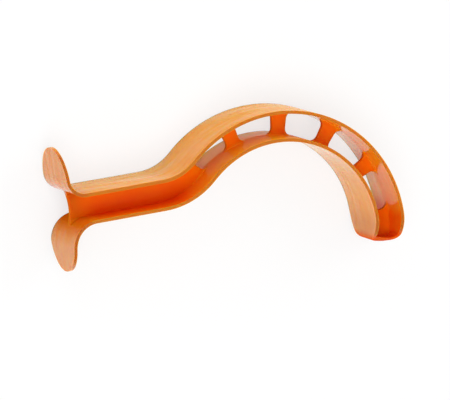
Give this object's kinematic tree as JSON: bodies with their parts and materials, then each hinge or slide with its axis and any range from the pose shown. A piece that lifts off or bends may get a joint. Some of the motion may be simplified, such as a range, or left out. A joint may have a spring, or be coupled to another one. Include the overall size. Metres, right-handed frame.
{
  "type": "oropharyngeal airway",
  "caption": "Curved oral airway moulded in one piece: two long walls joined by a windowed centre web, open side channels, a closed rounded tip and a two-eared flange.",
  "frame": {"origin": "centre of the proximal mouth: on the flange face, on the straight bite's centre line, halfway across the width", "axes": "+X along the straight bite from the flange into the airway, +Y towards the outside of the arch, +Z across the width, so the part lies on its side"},
  "size_m": [0.1103, 0.0482, 0.0208],
  "materials": {
    "orange_plastic": "glossy moulded plastic, slightly translucent at thin edges"
  },
  "bodies": {
    "root": {"airway_body": "orange_plastic"}
  },
  "joints": []
}
